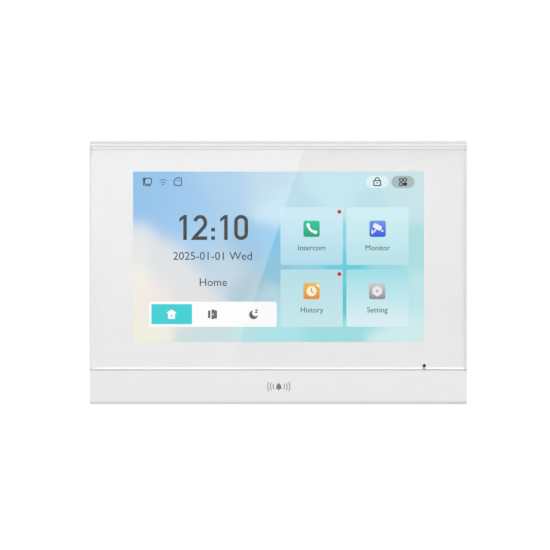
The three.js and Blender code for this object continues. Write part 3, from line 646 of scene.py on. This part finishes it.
# status icons
drawing("statusIcons", [
    stroke(centred(-68.9, 48.2, 3.7, 3.2, 0.7), 0.5, closed=True),
    stroke([(-70.3, 45.9), (-67.6, 45.9)], 0.5), [circle(-70.9, 49.2, 0.85, 20)],
    stroke([(-71.2, 48.3), (-71.2, 46.0)], 0.5),
    stroke(arc(-60.9, 46.2, 2.9, 50, 130), 0.3), stroke(arc(-60.9, 46.2, 1.6, 48, 132), 0.35),
    [circle(-60.9, 46.4, 0.42, 16)],
    stroke(np.vstack([arc(-54.4, 46.7, 0.7, 180, 270, 5), arc(-51.9, 46.7, 0.7, 270, 360, 5),
                      arc(-51.9, 49.3, 0.7, 0, 90, 5), [(-53.7, 50.0), (-55.1, 48.6)]]), 0.5, closed=True),
    stroke([(-53.6, 48.7), (-52.1, 48.7)], 0.35),
], deep["icon"], slate)

# tiles: frosted panes that each run from one tone to another
tiles = [
    ("tileCall", 1.1, 34.0, 4.0, 34.5, ("bae2f0", "d4f0fb", 4, 30)),
    ("tileCameras", 35.9, 68.8, 4.0, 34.5, ("bfe8ee", "d6f5fa", 4, 32)),
    ("tileHistory", 1.1, 34.0, -28.7, 1.6, ("cdecf2", "bee4ec", -28, 2)),
    ("tileSettings", 35.9, 68.8, -28.7, 1.6, ("def3f7", "ace5ee", -26, 0)),
]
for name, x0, x1, z0, z1, (lowTone, highTone, low, high) in tiles:
    glow = glowing(name + "Glow", lowTone, highTone, low, high)
    drawing(name, [[roundRect(x0, x1, z0, z1, 1.1)]], deep["tile"], glow)


iconPlates = {"size": 8.6, "corner": 1.1, "tones": [
    ("callIcon", 17.5, 23.1, "0aa884", "14d2a4"), ("camerasIcon", 52.4, 23.1, "476adb", "82a1ef"),
    ("historyIcon", 17.5, -9.8, "ee9600", "efc66d"), ("settingsIcon", 52.2, -9.8, "97959a", "d3d5dc"),
]}
for name, x, z, lowTone, highTone in iconPlates["tones"]:
    size = iconPlates["size"]
    glow = glowing(name + "Glow", lowTone, highTone, z - size / 2, z + size / 2)
    drawing(name, [[centred(x, z, size, size, iconPlates["corner"])]], deep["icon"], glow)

drawing("handsetGlyph", [
    stroke(arc(20.0, 25.6, 4.3, 186, 264, 16), 1.25), [circle(15.75, 25.1, 0.95, 20)], [circle(19.6, 21.3, 0.95, 20)],
], deep["glyph"], whiteGlow)


def turnedBox(cx, cz, w, h, degrees, r=0.2):
    a = math.radians(degrees)
    p = roundRect(-w / 2, w / 2, -h / 2, h / 2, r, 5)
    return np.column_stack([cx + p[:, 0] * math.cos(a) - p[:, 1] * math.sin(a),
                            cz + p[:, 0] * math.sin(a) + p[:, 1] * math.cos(a)])


drawing("cameraGlyph", [
    [turnedBox(52.3, 24.1, 4.7, 2.5, -28, 0.5)], [turnedBox(54.9, 22.0, 1.1, 0.9, -28)],
    stroke([(51.5, 22.7), (50.3, 21.3), (49.6, 21.4)], 0.7), stroke([(49.5, 22.4), (49.5, 20.4)], 0.6),
], deep["glyph"], glowing("paleBlueGlow", "f2f4ff"))
drawing("historyGlyph", [[circle(17.5, -9.9, 2.65, 32)]], deep["glyph"], glowing("creamGlow", "fff6e4"))
drawing("historyHands", [stroke([(17.4, -8.4), (17.4, -10.1), (18.6, -10.6)], 0.5)],
        deep["top"], glowing("orangeGlow", "d88a1c"))
drawing("historyNotch", [stroke([(20.5, -6.4), (21.4, -7.3)], 0.9)], deep["glyph"], whiteGlow)
hexagon = arc(52.2, -9.8, 2.9, 30, 330, 6)
drawing("settingsGlyph", [[hexagon, circle(52.2, -9.8, 0.72, 20)]], deep["glyph"], glowing("paleGreyGlow", "eeecf0"))
drawing("noticeDots", [[circle(32.2, 32.1, 1.05, 24)], [circle(32.2, -0.8, 1.05, 24)]],
        deep["icon"], glowing("redGlow", "d0201e"))

# the two rounded buttons at the top right
drawing("lockPill", [[roundRect(46.2, 58.2, 44.6, 51.1, 3.2)]], deep["tile"], glowing("pillGlow", "e4f6fa"))
drawing("menuPill", [[roundRect(59.7, 71.9, 44.6, 51.1, 3.2)]], deep["tile"], glowing("greyPillGlow", "b2c3c4"))
drawing("lockGlyph", [
    stroke(centred(52.2, 47.2, 3.6, 2.6, 0.35), 0.55, closed=True),
    stroke(np.vstack([[(51.1, 48.5)], arc(52.2, 49.0, 1.1, 180, 0, 9), [(53.3, 48.5)]]), 0.5),
    [circle(52.2, 47.3, 0.4, 14)],
], deep["icon"], dark)
drawing("menuGlyph", [
    stroke(circle(64.7, 49.0, 0.85, 20), 0.5, closed=True), stroke(circle(66.9, 49.0, 0.85, 20), 0.5, closed=True),
    stroke(circle(64.7, 46.7, 0.85, 20), 0.5, closed=True), [centred(66.9, 46.7, 2.1, 1.7, 0.3)],
], deep["icon"], dark)

for name, words, x, z in (("callWord", "Intercom", 17.6, 11.7), ("camerasWord", "Monitor", 52.4, 11.7),
                          ("historyWord", "History", 17.6, -21.1), ("settingsWord", "Setting", 52.2, -21.1)):
    lettering(name, words, x, z, 2.85, deep["icon"], wordGlow)
print("screen drawings")


softening = {"merge": 0.004, "fromAngle": 32}


def softened(name, node, material, body="monitor", width=0.25, segments=2):
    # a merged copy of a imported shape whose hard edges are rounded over
    mesh = nodes[node].data.copy()
    mesh.name = name
    mesh.materials.clear()
    mesh.materials.append(material)
    piece = bpy.data.objects.new(name, mesh)
    bpy.context.scene.collection.objects.link(piece)
    weld = piece.modifiers.new("merge", "WELD")
    weld.merge_threshold = softening["merge"] * mm
    mesh.polygons.foreach_set("use_smooth", [True] * len(mesh.polygons))
    rounding = piece.modifiers.new("rounding", "BEVEL")
    rounding.width = width * mm
    rounding.segments = segments
    rounding.limit_method = "ANGLE"
    rounding.angle_limit = math.radians(softening["fromAngle"])
    rounding.use_clamp_overlap = True
    evened = piece.modifiers.new("evened", "WEIGHTED_NORMAL")
    evened.weight = 100
    depsgraph = bpy.context.evaluated_depsgraph_get()
    done = bpy.data.meshes.new_from_object(piece.evaluated_get(depsgraph))
    piece.modifiers.clear()
    piece.data = done
    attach(piece, body)
    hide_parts(node)
    return piece


softened("frontShell", "front_frame", frontWhite, width=0.22, segments=3)
softened("rearShell", "rear_cover", backWhite, width=0.25)
softened("wallPlate", "wall_plate", plateSteel, body="plate", width=0.15)
for i in range(1, 5):
    softened(f"caseScrew{i}", f"case_screw_{i}", screwZinc, width=0.1)
for name, node, material, slot, body in (
        ("powerPlug", "power_plug", plugGreen, "green_plastic", "power_plug_body"),
        ("bellPlug", "bell_plug", plugGreen, "green_plastic", "bell_plug_body"),
        ("powerHeader", "power_header", plugGreen, "green_plastic", "monitor"),
        ("bellHeader", "bell_header", plugGreen, "green_plastic", "monitor"),
        ("networkJack", "network_jack", blackPlastic, "black_plastic", "monitor"),
        ("memoryCard", "memory_card", blackPlastic, "black_plastic", "memory_card"),
        ("ratingLabel", "rating_label", labelFilm, "label", "monitor")):
    softened(name, node, material, body=body, width=0.1)
print("casing")

# the label's printed frame and empty fields, the plate's arrow, and the numbers and signs beside the terminals
label = {"x": -79, "z": 1, "width": 20, "height": 36, "face": -0.4}


def labelFields():
    x, z, w = label["x"], label["z"], label["width"] - 3
    fields = [stroke(centred(x, z, label["width"], label["height"], 1), 0.25, closed=True)]
    fields += [[centred(x, z + row, w, 0.22)] for row in (11, 6.5, 2, -2.5)]
    fields += [[centred(x, z + 14.4, w * 0.7, 1.8, 0.3)], stroke(centred(x, z - 10, w, 9, 0.5), 0.22, closed=True)]
    return fields


drawing("labelPrint", labelFields(), label["face"] - 0.005, labelInk, thick=0.017)
arrow = [np.array([(-1.2, 8), (1.2, 8), (1.2, 13), (3.6, 13), (0, 17.6), (-3.6, 13), (-1.2, 13)])]
drawing("plateArrow", [arrow], -0.012, labelInk, body="plate", thick=0.016)
for name, words, x in (("markPlus", "+", -8.1), ("markMinus", "-", -11.9), ("markOne", "1", 17.81),
                       ("markTwo", "2", 14.0), ("markThree", "3", 10.19)):
    lettering(name, words, x, -33.6, 2.2, -11.995, labelInk, facing=1)

terminals = [("power", 1), ("power", 2), ("bell", 1), ("bell", 2), ("bell", 3)]
finishes = {
    "glass_tape": foamTape, "lcd_tray": brightSteel, "diffuser_film": whiteFilm, "light_guide": whiteFilm,
    "led_bar": whiteFilm, "display_ribbon": amberFlex, "touch_ribbon": amberFlex, "antenna_strip": amberFlex,
    "display_connector": creamPlastic, "touch_connector": creamPlastic, "display_latch": blackPlastic,
    "touch_latch": blackPlastic, "main_board": maskGreen, "jack_contacts": clampBrass, "shield_can": brightSteel,
    "capacitor_1": canAluminium, "capacitor_2": canAluminium, "power_choke": blackPlastic,
    "card_holder": brightSteel, "reset_switch": brightSteel, "reset_plunger": blackPlastic,
    "speaker_gasket": softRubber, "speaker_basket": blackPlastic, "speaker_cone": blackPlastic,
    "speaker_magnet": brightSteel, "mic_boot": softRubber, "microphone": canAluminium, "mic_lead": wireBlack,
    "speaker_lead": wireBlack,
    **{f"board_screw_{i}": screwZinc for i in range(1, 5)},
    **{f"{side}_clamp_{i}": clampBrass for side, i in terminals},
    **{f"{side}_clamp_screw_{i}": screwZinc for side, i in terminals},
}
for name, material in finishes.items():
    nodes[name].data.materials.clear()
    nodes[name].data.materials.append(material)

# the small mark on the chin: a bell between two sound arcs
mark = {"x": 0.2, "z": -60.2, "front": -22.012}


def bellShapes(cx, cz):
    dome = np.vstack([arc(cx, cz + 0.2, 1.25, 0, 180, 14), [(cx - 1.35, cz - 0.9), (cx - 1.75, cz - 1.3),
                                                         (cx + 1.75, cz - 1.3), (cx + 1.35, cz - 0.9)]])
    shapes = [[dome], [circle(cx, cz - 1.75, 0.42, 16)], [circle(cx, cz + 1.65, 0.3, 14)]]
    for side in (0, 180):
        for reach in (3.0, 4.4, 5.8):
            shapes.append(stroke(arc(cx, cz, reach, side - 24, side + 24), 0.42))
    return shapes


drawing("chinMark", bellShapes(mark["x"], mark["z"]), mark["front"], markGrey, thick=0.02)

studio = {"floorZ": -0.42, "floorReach": 6, "fadeFrom": 0.8, "fadeTo": 3.0, "ambient": 0.42, "seen": 1.05}
viewpoint = {"x": -0.0018, "z": -0.00132, "distance": 1.8, "lens": 220.5, "sensor": 36, "farthest": 30}
paleCard = {"y": -2.4, "left": -0.42, "foot": -120, "head": 160, "fadeFrom": -0.12, "fadeTo": 0.155,
            "low": 0.2, "high": 0.75}
lamps = {
    "keyLamp": {"place": (0.25, -2.0, 1.6), "size": (1.4, 1.0), "power": 37.5},
    "backLamp": {"place": (-0.6, 2.0, 1.6), "size": (1.6, 1.2), "power": 22.5},
}


def addStage(name, points, faces, material):
    mesh = bpy.data.meshes.new(name)
    mesh.from_pydata(points, [], faces)
    mesh.materials.append(material)
    thing = bpy.data.objects.new(name, mesh)
    bpy.context.scene.collection.objects.link(thing)
    return thing


def brightness(tree):
    # how bright empty space is: white when looked at, softer as a source of light
    seen = tree.nodes.new("ShaderNodeLightPath")
    return spread(tree, seen.outputs["Is Camera Ray"], 0, 1, studio["ambient"], studio["seen"])


def floorMaterial():
    # pale matt floor whose far reaches take the brightness of the empty space behind it
    material, tree, shader = newMaterial("floorWhite", (0.86, 0.86, 0.86), 0.8)
    length = tree.nodes.new("ShaderNodeVectorMath")
    length.operation = "LENGTH"
    tree.links.new(objectPoint(tree, (1, 1, 0)), length.inputs[0])
    far = spread(tree, length.outputs["Value"], studio["fadeFrom"], studio["fadeTo"], 0, 1)
    glow = tree.nodes.new("ShaderNodeEmission")
    tree.links.new(brightness(tree), glow.inputs["Strength"])
    blend = tree.nodes.new("ShaderNodeMixShader")
    tree.links.new(far, blend.inputs["Fac"])
    tree.links.new(shader.outputs[0], blend.inputs[1])
    tree.links.new(glow.outputs[0], blend.inputs[2])
    tree.links.new(blend.outputs[0], tree.nodes["Material Output"].inputs["Surface"])
    return material


floorCorners = [(x * studio["floorReach"], y * studio["floorReach"], studio["floorZ"])
                for x, y in ((-1, -1), (1, -1), (1, 1), (-1, 1))]
addStage("floor", floorCorners, [(0, 1, 2, 3)], floorMaterial())


def reflectedCard():
    # a pale card behind the camera, seen only as the slanted band of light in the glass
    y, left = paleCard["y"], paleCard["left"]
    reach = 1 - y / viewpoint["distance"]
    (lowX, lowZ), (highX, highZ) = [
        ((sheen["topX"] + (z - sheen["topZ"]) * sheen["slope"]) * mm * reach, z * mm * reach)
        for z in (paleCard["foot"], paleCard["head"])]
    card, tree, shader = newMaterial("cardGlow", (0, 0, 0), 1.0)
    split = tree.nodes.new("ShaderNodeSeparateXYZ")
    tree.links.new(objectPoint(tree), split.inputs["Vector"])
    low, high = studio["ambient"] + paleCard["low"], studio["ambient"] + paleCard["high"]
    glow = spread(tree, split.outputs["Z"], paleCard["fadeFrom"], paleCard["fadeTo"], low, high)
    tree.nodes.remove(shader)
    light = tree.nodes.new("ShaderNodeEmission")
    tree.links.new(glow, light.inputs["Strength"])
    tree.links.new(light.outputs[0], tree.nodes["Material Output"].inputs["Surface"])
    points = [(left, y, lowZ), (lowX, y, lowZ), (highX, y, highZ), (left, y, highZ)]
    thing = addStage("reflectedCard", points, [(0, 1, 2, 3)], card)
    thing.visible_camera = False
    thing.visible_diffuse = False
    thing.visible_shadow = False


reflectedCard()

for name, settings in lamps.items():
    lamp = bpy.data.lights.new(name, "AREA")
    lamp.shape = "RECTANGLE"
    lamp.size, lamp.size_y = settings["size"]
    lamp.energy = settings["power"]
    thing = bpy.data.objects.new(name, lamp)
    thing.location = settings["place"]
    thing.rotation_euler = (-Vector(settings["place"])).to_track_quat("-Z", "Y").to_euler()  # facing the origin
    thing.visible_transmission = False
    bpy.context.scene.collection.objects.link(thing)

world = bpy.data.worlds.new("studio")
world.use_nodes = True
bpy.context.scene.world = world
tree = world.node_tree
tree.links.new(brightness(tree), tree.nodes["Background"].inputs["Strength"])
tree.nodes["Background"].inputs["Color"].default_value = (1, 1, 1, 1)

# The camera stands square to the glass, a little left of and below its middle.
camera = bpy.data.cameras.new("camera")
camera.lens = viewpoint["lens"]
camera.sensor_width = viewpoint["sensor"]
camera.clip_end = viewpoint["farthest"]
cameraObject = bpy.data.objects.new("camera", camera)
cameraObject.location = (viewpoint["x"], -viewpoint["distance"], viewpoint["z"])
cameraObject.rotation_euler = (math.pi / 2, 0, 0)
bpy.context.scene.collection.objects.link(cameraObject)
bpy.context.scene.camera = cameraObject
bpy.context.scene.view_settings.view_transform = "Standard"
print("studio")
